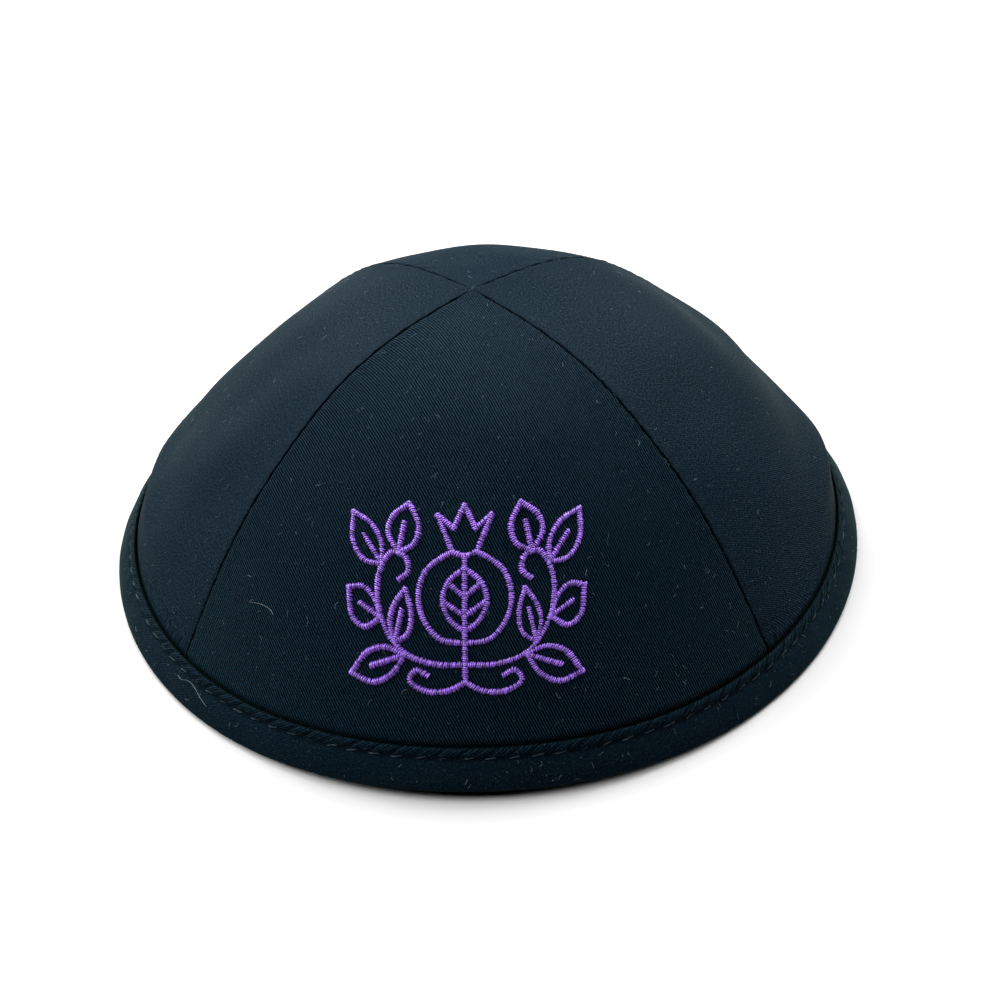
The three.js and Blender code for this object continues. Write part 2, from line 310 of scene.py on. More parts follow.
class Looks:
    def __init__(self, name):
        self.material = bpy.data.materials.new(name)
        self.material.use_nodes = True
        self.tree = self.material.node_tree
        self.shader = self.tree.nodes["Principled BSDF"]

    def node(self, kind, settings, inputs=None, output=0):
        made = self.tree.nodes.new("ShaderNode" + kind)
        for key, value in settings.items():
            setattr(made, key, value)
        for key, value in (inputs or {}).items():
            self.feed(made.inputs[key], value)
        return Wire(self, made.outputs[output])

    def feed(self, socket, value):
        if isinstance(value, Wire):
            self.tree.links.new(value.socket, socket)
        else:
            socket.default_value = value

    def mix(self, share, first, second):
        inputs = {0: share, 6: first, 7: second}
        return self.node("Mix", {"data_type": "RGBA"}, inputs, 2)

    def finish(self, **sockets):
        for key, value in sockets.items():
            self.feed(self.shader.inputs[key.replace("_", " ")], value)
        return self.material


twill = {
    "ribPitch": 0.0005,
    "floatLength": 0.0014,  # of one thread along a rib
    "floatShift": 0.37,  # from one rib to the next, as a share of that
    "floatRelief": 0.28,
    "meanWeave": 0.32,  # what the weave fades to where its contrast is low
    # scale and detail of each noise: the ribs' waver, lighter spots, fuzz and dusty patches
    "noises": ((180, 1), (420, 2), (2300, 2), (45, 3)),
    "mottling": 0.9,
    # from where the patches and the fuzz look dusty, and how fast
    "dustiness": ((0.55, 0.3), (0.61, 2.4)),
    # groove and rib colours: the weave, with painted shade in the grooves and painted highlight on
    # the ribs
    "groove": (0.00002, 0.0005, 0.002, 1),
    "rib": (0.0066, 0.017, 0.0285, 1),
    "dust": (0.03, 0.04, 0.045, 1),
    # the colour of the painted shade in the seams, at the hem, and in the band's stitch groove,
    # slot and creases
    "seamShade": (0.0001, 0.0002, 0.0004, 1),
    "bumpHeight": 0.00012,
    "bumpStrength": 0.85,
    # the weave's share in the bump, for its contrast and besides that, and the fuzz's
    "bumpShares": (0.77, 0.1, 0.5),
    "roughness": (0.75, 0.55),  # in the grooves and on the ribs
    "gloss": 0.022,
    "glossTint": (0.2, 0.9, 0.9, 1),
    "sheen": 0.009,
    "sheenRoughness": 0.3,
    "sheenTint": (0.15, 1.0, 0.45, 1),
    # higher: how far up the cloth the contrast changes, over what length, and to how much
    # front and side are copies of one twill: the front has stronger painted rib highlight and
    # groove shade, the sides weaker, as light falls along their ribs
    "front": {
        "angle": 63,
        "contrast": 1.8,
        "waver": 0.5,
        "fuzziness": 2,
        "lightness": 1.08,
        "sheenShare": 1,
        "higher": (0.06, 0.04, 0.8),
    },
    "side": {
        "angle": 63,
        "contrast": 0.5,
        "waver": 1,
        "fuzziness": 1.9,
        "lightness": 1,
        "sheenShare": 1,
        "higher": (0.012, 0.035, 0.1),
    },
    "band": {
        "angle": -33,
        "contrast": 0.15,
        "waver": 1.2,
        "fuzziness": 1.1,
        "lightness": 0.84,
        "sheenShare": 4.3,
        "higher": (0.0066, 0.0003, 0.6),
    },
}


def makeTwill(name, cloth):
    looks = Looks(name)
    spots = looks.node("UVMap", {"uv_map": "cloth"})
    u, v = (looks.node("SeparateXYZ", {}, {0: spots}, axis) for axis in (0, 1))
    paintedShade = looks.node("Attribute", {"attribute_name": "paintedShade"}, output=2)
    waver, mottle, fuzz, patches = (
        looks.node("TexNoise", {}, {"Vector": spots, "Scale": scale, "Detail": detail})
        for scale, detail in twill["noises"]
    )
    start, reach, changed = cloth["higher"]
    # contrast sets how far the ribs are painted lighter, as painted highlight, and the grooves
    # darker, as painted shade; it also scales the weave's bump
    contrast = ((v - start) / reach).clamp() * (changed - cloth["contrast"]) + cloth["contrast"]

    # across the ribs and along them, counted in ribs and in floats
    angle = math.radians(cloth["angle"])
    across = (u * math.sin(angle) + v * math.cos(angle)) / twill["ribPitch"]
    rib = across + waver * cloth["waver"]
    along = (u * math.cos(angle) - v * math.sin(angle)) / twill["floatLength"]
    run = along + rib.floor() * twill["floatShift"]
    ridge = ((rib * (2 * math.pi)).sine() * 0.5 + 0.5) ** 2
    floats = (run * (2 * math.pi)).sine() * 0.5 + 0.5
    relief = floats * twill["floatRelief"] + (1 - twill["floatRelief"])
    weave = ridge * relief * ((mottle - 0.5) * twill["mottling"] + 1)

    plain = (1 - contrast) * twill["meanWeave"] + (fuzz - 0.5) * cloth["fuzziness"]
    # the weave's texture and fuzz, with painted highlight on the ribs and painted shade in the
    # grooves
    weaveAndPaintedLight = (weave * contrast + plain).clamp()
    ribColour = [channel * cloth["lightness"] for channel in twill["rib"][:3]] + [1]
    colour = looks.mix(weaveAndPaintedLight, twill["groove"], ribColour)
    (patchy, patchPace), (fuzzy, fuzzPace) = twill["dustiness"]
    dusty = ((patches - patchy) * patchPace + (fuzz - fuzzy) * fuzzPace).clamp()
    colour = looks.mix(dusty, colour, twill["dust"])
    byContrast, always, byFuzz = twill["bumpShares"]
    bump = {
        "Strength": twill["bumpStrength"],
        "Distance": twill["bumpHeight"],
        "Height": weave * (contrast * byContrast + always) + fuzz * byFuzz,
    }
    inGroove, onRib = twill["roughness"]
    return looks.finish(
        # the base colour is darkened towards the seamShade colour as painted shade, by the
        # attribute read above
        Base_Color=looks.mix(paintedShade, twill["seamShade"], colour),
        Roughness=weaveAndPaintedLight * (onRib - inGroove) + inGroove,
        Specular_IOR_Level=twill["gloss"],
        Specular_Tint=twill["glossTint"],
        Sheen_Weight=twill["sheen"] * cloth["sheenShare"],
        Sheen_Roughness=twill["sheenRoughness"],
        Sheen_Tint=twill["sheenTint"],
        Normal=looks.node("Bump", {}, bump),
    )


threads = {
    "plyTurns": (7, 2),  # how often the plies show along half a thread and round it
    "bumpStrength": 0.4,
    "bumpHeight": 0.00004,
    "toneShare": 0.75,  # of the thread's own tone in its colour; the rest is the plies' stripes, painted highlight on their crests and painted shade between them
    "sheenRoughness": 0.3,
    # darkest and lightest colour, roughness, gloss and sheen
    "satin": ((0.025, 0.004, 0.11, 1), (0.29, 0.115, 0.68, 1), 0.3, 0.6, 0.01),
    "base": ((0.008, 0.002, 0.025, 1), (0.02, 0.005, 0.06, 1), 0.7, 0.2, 0),
    "dark": ((0.002, 0.005, 0.009, 1), (0.03, 0.05, 0.063, 1), 0.6, 0.1, 0.02),
    "lint": ((0.012, 0.022, 0.026, 1), (0.13, 0.165, 0.18, 1), 0.8, 0.2, 0),
}


def makeThread(name, dark, light, roughness, gloss, sheen):
    looks = Looks(name)
    spots = looks.node("Attribute", {"attribute_name": "thread"}, output=1)
    along, turn, tone = (looks.node("SeparateXYZ", {}, {0: spots}, axis) for axis in (0, 1, 2))
    lengthways, roundabout = threads["plyTurns"]
    plies = (along * lengthways + turn * roundabout).sine() * 0.5 + 0.5
    # the plies' stripes paint their crests lighter and the hollows between them darker: painted
    # highlight and painted shade
    lightness = (tone * threads["toneShare"] + plies * (1 - threads["toneShare"])).clamp()
    bump = {
        "Strength": threads["bumpStrength"],
        "Distance": threads["bumpHeight"],
        "Height": plies,
    }
    return looks.finish(
        Base_Color=looks.mix(lightness, dark, light),
        Roughness=roughness,
        Specular_IOR_Level=gloss,
        Sheen_Weight=sheen,
        Sheen_Roughness=threads["sheenRoughness"],
        Normal=looks.node("Bump", {}, bump),
    )


frontTwill = makeTwill("FrontTwill", twill["front"])
sideTwill = makeTwill("SideTwill", twill["side"])
bandTwill = makeTwill("BandTwill", twill["band"])
satinThread = makeThread("SatinThread", *threads["satin"])
baseThread = makeThread("BaseThread", *threads["base"])
darkThread = makeThread("DarkThread", *threads["dark"])
lintFibre = makeThread("LintFibre", *threads["lint"])
print("materials made")

# Crown panels: each is a flat pillow of cloth, rolled in along its seams.
panels = {
    "names": ("front", "right", "back", "left"),
    "columns": 300,
    "rows": 155,
    "crowding": 1.7,  # how much closer the columns lie towards the seams
    "tuck": 0.0017,
    # how deep the cloth is pulled in at each seam, low down and near the tip
    "seamStrength": ((0.5, 1.1), (0.75, 0.9), (0.6, 0.6), (0.6, 0.6)),
    "seamChange": 0.06,  # the climb over which it changes
    "calmReach": 0.004,  # puckers and waves fade out this near the band and the tip
    "rollRadius": 0.00034,
    "seamDepth": 0.0006,
    "seamGap": 0.00003,
    "seamWobble": 0.00009,
    "seamLine": 0.00022,  # width of the painted shade line in the seam
    "seamSwell": (0.00005, 0.0012, 0.001),  # height, place and width of the rise beside it
    "hemDip": 0.0005,
    "hemReach": 0.0005,
    "puckerHeight": 0.00009,
    "puckerReach": 0.0018,
    "waveHeight": (0.00012, 0.00022, 0.0002, 0.00028),
    # how many, shortest, longest, and how far they may turn from running along the seam's climb
    "waves": (10, 0.018, 0.05),
    "puckers": (9, 0.0021, 0.0075, 0.5),
    "wobbles": (7, 0.0016, 0.006, 0.1),
    "allowance": 0.0065,  # the turned-in cloth beside the seams, inside
    "allowanceEdge": 0.0005,
    "allowanceWall": 0.00045,
    "paintedShades": (0.9, 0.85),  # how dark the painted shade is in the seam and at the hem
}


def panelShape(index):
    first, last = seamStops[index : index + 2]
    middle, half = (first + last) / 2, (last - first) / 2
    strengths = panels["seamStrength"][index], panels["seamStrength"][(index + 1) % 4]
    waves = ripples(40 + index, *panels["waves"])
    puckers = ripples(60 + index, *panels["puckers"])
    wobbles = ripples(80 + index, *panels["wobbles"])
    # the cloth lay flat once, like part of a cone, and its ribs ran straight
    midRadius = crownMeridian(middle + 0 * levels, levels)[0]
    coneRadius = midRadius / np.clip(-np.gradient(midRadius, climb), 0.2, 1)

    def shape(w, v):
        outer = w < 0.5
        share = np.where(outer, w * 4 - 1, 3 - w * 4)
        across = np.sign(share) * (1 - (1 - np.abs(share)) ** panels["crowding"])
        side = np.sign(across)
        climbed = -panels["tuck"] + v * (climb[-1] + panels["tuck"])
        low, high = (np.where(side < 0, strengths[0][k], strengths[1][k]) for k in (0, 1))
        strength = low + (high - low) * smoothStep(climbed / panels["seamChange"])
        level = np.where(v > 0.9999, 1, levelAt(climbed))
        radius = crownMeridian(middle + across * half, level)[0]
        width = np.radians(half) * radius
        room = smoothStep(width / panels["calmReach"])
        calm = smoothStep(climbed / panels["calmReach"]) * room
        wobble = wobbles(climbed, side * 0.1) * 0.5 + 0.5
        gap = panels["seamGap"] + panels["seamWobble"] * np.clip(wobble, 0, 1.5) * calm
        inset = np.minimum(gap / np.maximum(radius, 1e-5), 0.3)
        azimuth = middle + across * (half - np.degrees(inset))
        edge = (1 - np.abs(across)) * width
        roll = 1 - np.sqrt(1 - np.clip(1 - edge / panels["rollRadius"], 0, 1) ** 2)
        dip = panels["seamDepth"] * strength * roll * room
        hem = np.exp(-((np.maximum(climbed, 0) / panels["hemReach"]) ** 2))
        pucker = puckers(climbed, side * 0.1 + edge) * np.exp(-edge / panels["puckerReach"])
        rise, spot, reach = panels["seamSwell"]
        swell = np.exp(-(((edge - spot) / reach) ** 2))
        lift = (pucker * panels["puckerHeight"] + swell * rise) * calm * (1 - roll)
        wave = waves(across * width, climbed) * panels["waveHeight"][index]
        lift += wave * calm * (1 - np.abs(across) ** 3)
        outerDepth = dip + panels["hemDip"] * hem - lift
        flapEnd = (edge - panels["allowance"]) / panels["allowanceEdge"]
        flap = (1 - smoothStep(flapEnd)) * (1 - roll) * calm
        innerDepth = cap["panelWall"] + panels["allowanceWall"] * flap - lift
        innerDepth += (panels["seamDepth"] * strength - innerDepth) * roll * room
        middleDepth = cap["panelWall"] / 2
        outerDepth = np.where(v < 1e-4, middleDepth, outerDepth)
        innerDepth = np.where((v < 1e-4) | (v > 0.9999), outerDepth, innerDepth)
        innerDepth = np.where(np.abs(across) > 0.99999, outerDepth, innerDepth)
        depth = np.where(outer, outerDepth, innerDepth)
        crown = crownSide(azimuth, level, depth)
        tuck = bandSide(azimuth, bandLength + climbed, middleDepth - depth)
        radius, height = (np.where(climbed < 0, a, b) for a, b in zip(tuck, crown))
        cone = np.interp(climbed, climb, coneRadius) + 1e-6
        lean = across * width / cone
        spots = np.stack([cone * np.sin(lean), climbed + cone * (1 - np.cos(lean))], -1)
        # painted shade: darker in the seam's groove and along the hem, where the panel tucks into
        # the band
        inSeam = np.exp(-((edge / panels["seamLine"]) ** 2)) * room * strength
        seamShade, hemShade = panels["paintedShades"]
        paintedShade = 1 - seamShade * inSeam - hemShade * hem**2
        return place(azimuth, (radius, height)), spots, paintedShade

    return shape


for index, name in enumerate(panels["names"]):
    mesh = layCloth("panel_cloth_" + name, panels["columns"], panels["rows"], panelShape(index))
    panel = addPiece(mesh.name, mesh, sideTwill if index else frontTwill)
    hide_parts("panel_" + name)
print("panels laid")

# Band: a strip folded at the rim, with a puckered welt above its topstitching.
band = {
    "columns": 1600,
    "rows": 58,
    "foldSpot": (0.00093, 0.00127),
    "foldRadius": 0.0008,
    "foldTurns": (285, 108, 9),  # from and to in degrees, and how many points between
    # along and out: down the inside from the slot, and up the outside to it
    "inside": (
        (0.0066, -0.00082),
        (0.0083, -0.00082),
        (0.0086, -0.00100),
        (0.0086, -0.00140),
        (0.0082, -0.00172),
        (0.0073, -0.00178),
        (0.0065, -0.00160),
        (0.0055, -0.00150),
        (0.0040, -0.00100),
        (0.0024, -0.00022),
        (0.0014, 0.00030),
    ),
    "outside": (
        (0.0016, 0.00214),
        (0.0030, 0.00208),
        (0.0044, 0.00186),
        (0.0056, 0.00160),
        (0.0065, 0.00142),
        (0.0072, 0.00152),
        (0.0078, 0.00152),
        (0.00825, 0.00136),
        (0.0085, 0.00112),
        (0.0085, 0.00086),
        (0.0083, 0.00076),
        (0.0066, 0.00076),
    ),
    "stitchLine": 0.0065,
    "stitchPitch": 0.0044,
    "faceStart": (0.0009, 0.0003),  # how far out or in a face begins, and how softly
    "grooveDepth": 0.00034,
    "grooveWidth": 0.0004,
    "welt": ((0.0067, 0.0005), (0.0087, 0.0009)),  # where it begins and ends, and how softly
    "weltPucker": 0.00046,
    "puff": 0.35,  # how far the welt stands out between its creases, as a share of that
    "creaseSlant": 0.0028,  # climb over which a crease moves on by one stitch
    "creaseWidths": (0.13, 0.09),  # of the main and the lesser creases, in stitches
    "lesserShare": 0.45,  # how deep the lesser creases are, and how far on from the main ones
    "slot": (0.0081, 0.0004, 0.0012),  # from where the slot gets painted shade, how softly, and up to how far out
    "paintedShades": (0.5, 0.9, 0.75),  # how dark the painted shade is in the stitches' groove, the slot and the creases
    "lowerRipple": 0.00008,
    # where the ripple begins below the stitches, how softly, and how fast it dies out
    "lowerFade": (0.0003, 0.0006, 0.0016),
    "lowerSlant": 0.006,
    "drift": 0.00012,
}
roundSpots = np.linspace(-180, 180, 2881)
roundLine = place(roundSpots, (rimRadius(roundSpots) - 0.0035, 0))
walk = np.concatenate([[0], np.cumsum(np.linalg.norm(np.diff(roundLine, axis=0), axis=1))])
stitchCount = round(walk[-1] / band["stitchPitch"])
stitchPitch = walk[-1] / stitchCount


def bandOutline():
    (x, y), size = band["foldSpot"], band["foldRadius"]
    turns = np.radians(np.linspace(*band["foldTurns"]))
    fold = np.stack([x + size * np.cos(turns), y + size * np.sin(turns)], -1)
    return np.vstack([band["inside"], fold, band["outside"]])


def bandShape(w, v):
    corners = bandOutline()
    count = len(corners)
    spot = np.mod(v, 1) * count
    i = spot.astype(int) % count
    t = (spot - i)[:, None]
    before, start, end, after = (corners[(i + k) % count] for k in (-1, 0, 1, 2))
    curve = curveBetween(before, start, end, after, t)
    inSlot = (i >= count - 2) | (i == 0)
    along, out = np.where(inSlot[:, None], start + t * (end - start), curve).T
    azimuth = w * 360 - 180
    paces = np.interp(azimuth, roundSpots, walk) / stitchPitch
    # 1 on the outer face, 1 on the inner face, and 0 elsewhere
    face, faceReach = band["faceStart"]
    outer = smoothStep((out - face) / faceReach) * (along > 0.0008)
    inner = smoothStep((-out - face) / faceReach)
    below = band["stitchLine"] - along
    # slow waves that make the puckers unlike, in whole numbers to a lap
    lap = 2 * math.pi / stitchCount
    size = 1 + 0.45 * np.sin(lap * paces * 17 + 1) * np.sin(lap * paces * 43)
    groove = np.exp(-((below / band["grooveWidth"]) ** 2))
    holes = 0.6 + 0.4 * np.cos(2 * math.pi * paces)
    (weltStart, startReach), (weltEnd, endReach) = band["welt"]
    welt = smoothStep((along - weltStart) / startReach) * smoothStep((weltEnd - along) / endReach)
    stray = 0.09 * np.sin(lap * paces * 23) + 0.07 * np.sin(lap * paces * 38 + 2)
    slant = paces + stray - (along - band["stitchLine"]) / band["creaseSlant"]
    lesserSlant = slant + band["lesserShare"]
    mainWidth, lesserWidth = band["creaseWidths"]
    crease = np.exp(-(((slant - np.rint(slant)) / mainWidth) ** 2))
    lesserCrease = np.exp(-(((lesserSlant - np.rint(lesserSlant)) / lesserWidth) ** 2))
    twist = (band["puff"] - crease - band["lesserShare"] * lesserCrease) * outer * welt
    begin, soft, reach = band["lowerFade"]
    fade = smoothStep((below - begin) / soft) * np.exp(-np.maximum(below, 0) / reach)
    ripple = np.cos(2 * math.pi * (paces + 0.5 - below / band["lowerSlant"])) * size
    drift = np.sin(lap * paces * 31) * np.sin(lap * paces * 12 + 2) * band["drift"]
    out = out - groove * band["grooveDepth"] * holes * (outer - inner)
    out += band["weltPucker"] * size * twist
    out += (outer - inner) * fade * smoothStep(along / 0.003) * band["lowerRipple"] * ripple
    out += drift * smoothStep(along / 0.002) * smoothStep((0.008 - along) / 0.002)
    # painted shade: darker in the stitches' groove, in the slot where the panels tuck in, and in
    # the welt's creases
    slotStart, slotReach, slotOut = band["slot"]
    dark = smoothStep((along - slotStart) / slotReach) * (out < slotOut)
    grooveShade, slotShade, creaseShade = band["paintedShades"]
    paintedShade = 1 - grooveShade * groove - slotShade * dark - creaseShade * np.clip(-twist, 0, 1)
    spots = np.stack([paces * stitchPitch, np.where(out > 0, along, -along)], -1)
    return place(azimuth, bandSide(azimuth, along, out)), spots, paintedShade


mesh = layCloth("band_cloth", band["columns"], band["rows"], bandShape)
bandCloth = addPiece("band_cloth", mesh, bandTwill)
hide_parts("rim_band")
print("band laid")

# Topstitching: two twisted plies to a stitch, outside and inside the band.
topstitch = {
    "plyRadius": 0.000085,
    "twist": 2.4,
    "length": 0.66,  # of the pitch
    "slant": 0.0002,
    "arch": 0.00024,
    "endDip": 1.9,  # how far a stitch's ends dip below its middle, in arches
    "plySpread": (0.9, 0.7),  # how far the plies wind, along the band's height and out, in radii
    "out": 0.00112,
    "in": 0.00138,
    # how unlike the stitches are: in tilt, place up the band, and place along it in pitches
    "stray": (0.00008, 0.00005, 0.03),
    "strayRadius": 0.08,
    "strayLength": 0.1,
    "tone": (0.5, 0.3),  # how light they are, and how unlike
}


def layTopstitch(name, face, seed):
    dice = np.random.default_rng(seed)
    stitch = np.repeat(np.arange(stitchCount), 2)[:, None]
    ply = np.tile([0, math.pi], stitchCount)[:, None]
    shift, tilt, fat, tone = np.repeat(dice.normal(0, 1, (4, stitchCount)), 2, 1)[..., None]

    def shape(t, turn):
        taper = 0.5 + 0.5 * (1 - t**6)
        size = topstitch["plyRadius"] * (1 + fat * topstitch["strayRadius"]) * taper
        upSpread, outSpread = topstitch["plySpread"]
        tilting, upward, onward = topstitch["stray"]
        twist = ply + t * topstitch["twist"] + shift
        arch = topstitch["arch"] * (1 - topstitch["endDip"] * t**4)
        rise = arch + size * np.cos(twist) * outSpread
        along = band["stitchLine"] + t * (topstitch["slant"] + tilt * tilting) + shift * upward
        along = along + size * (np.cos(turn) + np.sin(twist) * upSpread)
        start = topstitch["out"] if face > 0 else -topstitch["in"]
        out = start + face * (rise + size * np.sin(turn))
        length = topstitch["length"] * (1 + fat * topstitch["strayLength"])
        paces = stitch + 0.5 + shift * onward + t * length / 2
        azimuth = np.interp(paces * stitchPitch, walk, roundSpots)
        light, unlike = topstitch["tone"]
        tones = np.clip(light + tone * unlike, 0, 1)[:, 0]
        return place(azimuth, bandSide(azimuth, along, out)), tones

    addPiece(name, layThreads(name, 7, 6, shape), darkThread)


layTopstitch("topstitch_outside", 1, 5)
layTopstitch("topstitch_inside", -1, 6)
print("topstitching laid")

# Ornament: the part's own lines, filled with satin stitches. Points are shares of half the width
# and of the height. A line is mirrored or single, and bent or straight.
ornament = {
    "width": 0.046,
    "height": 0.036,
    "base": 0.010,
    "halfWidth": 0.00064,
    "threadPitch": 0.00041,
    "threadRadius": 0.000168,
    "rise": 0.00055,
    "sink": 0.00012,  # how deep a stitch's ends lie in the cloth
    "flatness": 0.8,  # a thread's height to its width
    "taper": (0.55, 0.45),  # of its thickness: at its ends, and how much more in its middle
    "overshoot": 0.0002,  # how far the stitches go past a line's ends
    "layerRise": 1.2e-6,  # from each line to the next, so that no two lie in one
    "slant": 0.2,
    "alternating": 0.07,  # each stitch leans this much more or less than the next
    "stray": (0.04, 0.08, 0.07, 0.00003),  # how unlike they are in lean, reach, rise and place
    "tone": (0.62, 0.28),  # how light the threads are, and how unlike
    # half width, half height and lift of the base stitching
    "underlay": (0.00044, 0.00018, 0.0001),
    "mirroredBent": (
        ((0, 0.26), (0.2, 0.28), (0.34, 0.38), (0.38, 0.51), (0.32, 0.63), (0.2, 0.7))
        + ((0.1, 0.735),),
        ((0, 0.65), (0.13, 0.58), (0.18, 0.48), (0.12, 0.38), (0, 0.32)),
        ((0, 0.06), (0.14, 0.015), (0.33, 0.01), (0.46, 0.06), (0.4, 0.115), (0.31, 0.09)),
        ((0, 0.15), (0.25, 0.15), (0.5, 0.2), (0.66, 0.32), (0.73, 0.48), (0.7, 0.63), (0.6, 0.72))
        + ((0.49, 0.7), (0.47, 0.62), (0.54, 0.58)),
        ((0.5, 0.19), (0.66, 0.22), (0.82, 0.18), (0.96, 0.06)),
        ((0.5, 0.19), (0.6, 0.09), (0.77, 0.03), (0.96, 0.06)),
        ((0.7, 0.37), (0.84, 0.31), (0.95, 0.35), (0.985, 0.5)),
        ((0.7, 0.37), (0.76, 0.47), (0.86, 0.52), (0.985, 0.5)),
        ((0.58, 0.25), (0.62, 0.35), (0.58, 0.45), (0.49, 0.53)),
        ((0.58, 0.25), (0.47, 0.3), (0.44, 0.41), (0.49, 0.53)),
        ((0.69, 0.65), (0.85, 0.66), (0.95, 0.75), (0.95, 0.9)),
        ((0.69, 0.65), (0.7, 0.77), (0.8, 0.86), (0.95, 0.9)),
        ((0.55, 0.72), (0.64, 0.82), (0.6, 0.91), (0.46, 0.985)),
        ((0.55, 0.72), (0.42, 0.77), (0.38, 0.87), (0.46, 0.985)),
    ),
    "mirroredStraight": (
        ((0.1, 0.735), (0.22, 0.93), (0.09, 0.86), (0, 0.985)),
        ((0, 0.5), (0.13, 0.57)),
        ((0, 0.4), (0.16, 0.47)),
        ((0.5, 0.19), (0.78, 0.115)),
        ((0.7, 0.37), (0.88, 0.43)),
        ((0.58, 0.25), (0.52, 0.42)),
        ((0.69, 0.65), (0.85, 0.79)),
        ((0.55, 0.72), (0.5, 0.88)),
    ),
    "singleBent": (((-0.1, 0.735), (0, 0.715), (0.1, 0.735)),),
    "singleStraight": (((0, 0.715), (0, 0.06)),),
}


def onFrontPanel(x, y, lift):
    level = levelAt(ornament["base"] + y)
    azimuth = np.degrees(x / crownMeridian(np.zeros_like(level), level)[0])
    return place(azimuth, crownSide(azimuth, level, -lift))


def between(p, q, start, end, t):
    return p + (q - p) * (t - start) / (end - start)


def smoothLine(points):  # a centripetal Catmull-Rom curve, densely sampled
    points = [2 * points[0] - points[1], *points, 2 * points[-1] - points[-2]]
    dense = []
    for a, b, c, d in zip(points, points[1:], points[2:], points[3:]):
        gaps = [np.linalg.norm(q - p) ** 0.5 for p, q in ((a, b), (b, c), (c, d))]
        atA, atB, atC, atD = np.cumsum([0, *gaps])
        t = np.linspace(atB, atC, 24, endpoint=False)[:, None]
        ab, bc = between(a, b, atA, atB, t), between(b, c, atB, atC, t)
        cd = between(c, d, atC, atD, t)
        abc, bcd = between(ab, bc, atA, atC, t), between(bc, cd, atB, atD, t)
        dense.append(between(abc, bcd, atB, atC, t))
    return np.vstack([*dense, points[-2]])


def stitchedLines():  # each curve or straight leg as dense points on the flat panel
    size = np.array([ornament["width"] / 2, ornament["height"]])
    for kind in ("mirroredBent", "mirroredStraight", "singleBent", "singleStraight"):
        for points in ornament[kind]:
            for flip in (1, -1)[: 1 + kind.startswith("mirrored")]:
                corners = [np.array([x * flip, y]) * size for x, y in points]
                if kind.endswith("Bent"):
                    yield smoothLine(corners)
                else:
                    yield from (np.linspace(p, q, 30) for p, q in zip(corners, corners[1:]))


def walkLine(dense, spots):  # places and directions at lengths along a line, also past its ends
    steps = np.concatenate([[0], np.cumsum(np.linalg.norm(np.diff(dense, axis=0), axis=1))])
    inside = np.clip(spots, 1e-4, steps[-1] - 1e-4)
    ahead = [np.interp(inside + k, steps, dense[:, a]) for k in (1e-4, -1e-4) for a in (0, 1)]
    ahead = np.stack([ahead[0] - ahead[2], ahead[1] - ahead[3]], -1)
    ahead /= np.linalg.norm(ahead, axis=1)[:, None]
    at = np.stack([np.interp(inside, steps, dense[:, a]) for a in (0, 1)], -1)
    return at + ahead * (spots - inside)[:, None], ahead


def lineLength(dense):
    return np.linalg.norm(np.diff(dense, axis=0), axis=1).sum()


def laySatin(lines):
    dice = np.random.default_rng(11)
    rows = []
    for order, dense in enumerate(lines):
        length = lineLength(dense)
        count = max(3, round((length + ornament["halfWidth"]) / ornament["threadPitch"]))
        past = ornament["overshoot"]
        at, ahead = walkLine(dense, np.linspace(-past, length + past, count))
        lean = ornament["slant"] + ornament["alternating"] * (-1.0) ** np.arange(count)
        layer = np.full(count, order * ornament["layerRise"])
        rows.append(np.column_stack([at, ahead, lean, layer]))
    x, y, aheadX, aheadY, lean, rise = np.vstack(rows).T[..., None]
    jitter = dice.normal(0, 1, (5, *x.shape))
    leaning, reaching, rising, shifting = ornament["stray"]
    lean = lean + jitter[0] * leaning
    reach = ornament["halfWidth"] * (1 + jitter[1] * reaching)
    rise = rise + ornament["rise"] * (1 + jitter[2] * rising)
    overX = -aheadY * np.cos(lean) + aheadX * np.sin(lean)
    overY = aheadX * np.cos(lean) + aheadY * np.sin(lean)
    x, y = x + aheadX * jitter[3] * shifting, y + aheadY * jitter[3] * shifting

    def shape(t, turn):
        ends, middle = ornament["taper"]
        size = ornament["threadRadius"] * (ends + middle * (1 - t**4))
        sideways = size * np.cos(turn)
        lift = rise * (1 - np.abs(t) ** 2.2) - ornament["sink"]
        lift = lift + size * np.sin(turn) * ornament["flatness"]
        px = x + overX * reach * t + overY * sideways
        py = y + overY * reach * t - overX * sideways
        light, unlike = ornament["tone"]
        return onFrontPanel(px, py, lift), np.clip(light + jitter[4][:, 0] * unlike, 0, 1)

    return layThreads("satin_stitches", 7, 6, shape)


def layUnderlay(lines):  # the base stitching that the satin lies over
    spots = [walkLine(dense, lineLength(dense) * np.linspace(0, 1, 25)) for dense in lines]
    at, ahead = (np.array([spot[k] for spot in spots]) for k in (0, 1))
    halfWidth, halfHeight, lift = ornament["underlay"]

    def shape(t, turn):
        step = np.rint((t + 1) * 12).astype(int)
        sideways = halfWidth * np.cos(turn)
        x = at[:, step, 0] - ahead[:, step, 1] * sideways
        y = at[:, step, 1] + ahead[:, step, 0] * sideways
        return onFrontPanel(x, y, lift + halfHeight * np.sin(turn) + 0 * x), np.full(len(at), 0.4)

    return layThreads("underlay", 25, 8, shape)


lines = [*stitchedLines()]
satin = addPiece("satin_stitches", laySatin(lines), satinThread)
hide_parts("stitched_ornament")
addPiece("underlay", layUnderlay(lines), baseThread)
print("ornament stitched")

